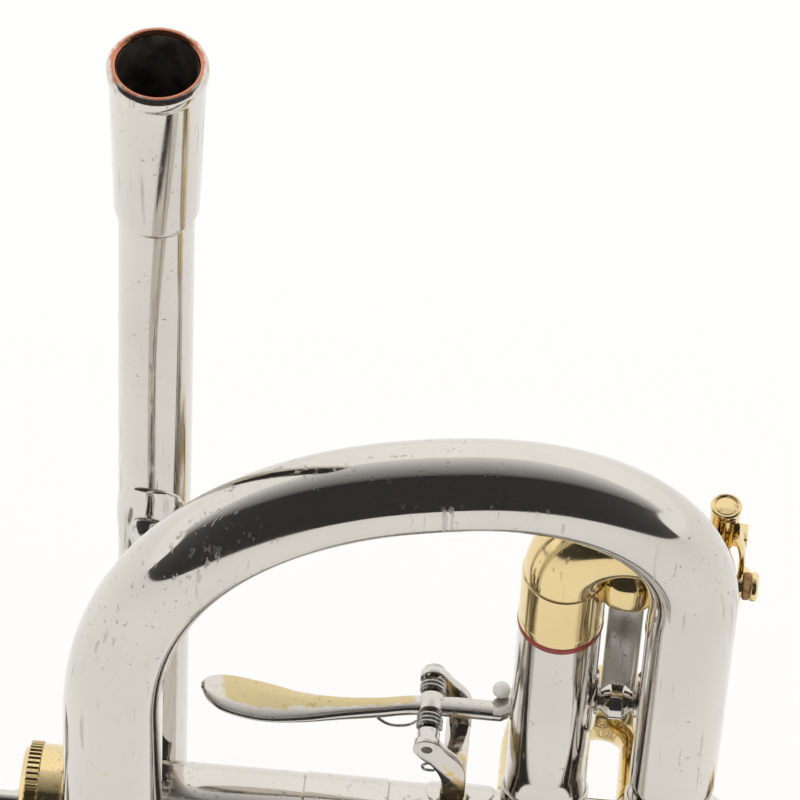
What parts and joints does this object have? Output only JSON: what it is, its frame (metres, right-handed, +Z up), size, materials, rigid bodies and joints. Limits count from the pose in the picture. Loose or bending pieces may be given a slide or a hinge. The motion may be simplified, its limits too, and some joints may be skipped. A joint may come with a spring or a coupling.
{
  "type": "flugelhorn",
  "caption": "Piston-valve flugelhorn with a round bell bow, sliding tuning crooks, a sprung thumb trigger on the first slide and a water key.",
  "frame": {"origin": "centre of the mouthpiece receiver's mouth", "axes": "+Z up the leadpipe and out of the mouth; +X from the valve tops to the valve bottoms; -Y to the player's left; it stands on the bell rim"},
  "size_m": [0.1845, 0.152, 0.4158],
  "materials": {
    "plating": "polished nickel plating with fine scratches",
    "inner_tube": "polished slide tube",
    "brass": "polished lacquered brass",
    "piston_metal": "honed nickel alloy",
    "spring_steel": "drawn steel wire",
    "red_rubber": "soft rubber ring",
    "felt": "pressed felt",
    "pearl": "mother-of-pearl disc",
    "cork": "natural cork",
    "nylon": "moulded nylon"
  },
  "bodies": {
    "horn": {"bell": "plating", "bell_bow": "plating", "bell_ferrule": "plating", "bell_rim_wire": "plating", "bell_tail": "plating", "bottom_caps": "brass", "casing_saddles": "plating", "first_slide_outer": "plating", "first_slide_spacer": "plating", "leadpipe": "plating", "leadpipe_brace": "plating", "mouthpiece_receiver": "plating", "pinky_hook": "plating", "second_slide_outer": "plating", "third_slide_outer": "plating", "top_caps": "brass", "trigger_saddle": "plating", "trigger_screw": "spring_steel", "trigger_springs": "spring_steel", "tuning_slide_outer": "plating", "valve_casings": "plating", "valve_guides": "piston_metal", "valve_knuckles": "plating", "valve_spring_1": "spring_steel", "valve_spring_2": "spring_steel", "valve_spring_3": "spring_steel"},
    "valve_1": {"valve_piston_1": "piston_metal", "valve_stem_1": "plating", "finger_button_1": "plating", "button_pearl_1": "pearl", "valve_felts_1": "felt"},
    "valve_2": {"valve_piston_2": "piston_metal", "valve_stem_2": "plating", "finger_button_2": "plating", "button_pearl_2": "pearl", "valve_felts_2": "felt"},
    "valve_3": {"valve_piston_3": "piston_metal", "valve_stem_3": "plating", "finger_button_3": "plating", "button_pearl_3": "pearl", "valve_felts_3": "felt"},
    "first_slide": {"first_slide_inner": "inner_tube", "first_slide_crook": "brass", "first_slide_rings": "red_rubber", "trigger_link": "plating", "trigger_link_boss": "brass", "first_key_seat": "brass"},
    "trigger": {"trigger_lever": "plating", "trigger_ball": "nylon"},
    "second_slide": {"second_slide_inner": "inner_tube", "second_slide_crook": "brass"},
    "third_slide": {"third_slide_inner": "inner_tube", "third_slide_crook": "brass", "third_slide_ring": "plating"},
    "tuning_slide": {"tuning_slide_inner": "inner_tube", "tuning_slide_crook": "brass"},
    "first_key": {"first_key_lever": "brass", "first_key_cork": "cork"}
  },
  "joints": [
    {"name": "valve_1_press", "type": "slide", "parent": "horn", "child": "valve_1", "axis": [1, 0, 0], "range_m": [0, 0.0155], "stiffness_N_per_m": 220, "springref_m": -0.012, "deforming": ["valve_spring_1"]},
    {"name": "valve_2_press", "type": "slide", "parent": "horn", "child": "valve_2", "axis": [1, 0, 0], "range_m": [0, 0.0155], "stiffness_N_per_m": 220, "springref_m": -0.012, "deforming": ["valve_spring_2"]},
    {"name": "valve_3_press", "type": "slide", "parent": "horn", "child": "valve_3", "axis": [1, 0, 0], "range_m": [0, 0.0155], "stiffness_N_per_m": 220, "springref_m": -0.012, "deforming": ["valve_spring_3"]},
    {"name": "first_slide_move", "type": "slide", "parent": "horn", "child": "first_slide", "axis": [0, 0, 1], "range_m": [0, 0.01], "stiffness_N_per_m": 250, "springref_m": -0.01},
    {"name": "trigger_turn", "type": "hinge", "parent": "horn", "child": "trigger", "pos_m": [0.044, -0.0069, -0.1385], "axis": [0, -1, 0], "range_deg": [0, 20.6]},
    {"name": "second_slide_move", "type": "slide", "parent": "horn", "child": "second_slide", "axis": [0, 1, 0], "range_m": [0, 0.01]},
    {"name": "third_slide_move", "type": "slide", "parent": "horn", "child": "third_slide", "axis": [0, 0, -1], "range_m": [0, 0.02]},
    {"name": "tuning_slide_move", "type": "slide", "parent": "horn", "child": "tuning_slide", "axis": [0, 0, -1], "range_m": [0, 0.025]},
    {"name": "first_key_open", "type": "hinge", "parent": "first_slide", "child": "first_key", "pos_m": [0.0856, -0.002, -0.0918], "axis": [0, 0, 1], "range_deg": [0, 18], "stiffness_Nm_per_rad": 0.02, "springref_deg": -20.05}
  ],
  "couplings": [
    {"joint": "trigger_turn", "follows": "first_slide_move", "rad_per_m": 35.78}
  ]
}
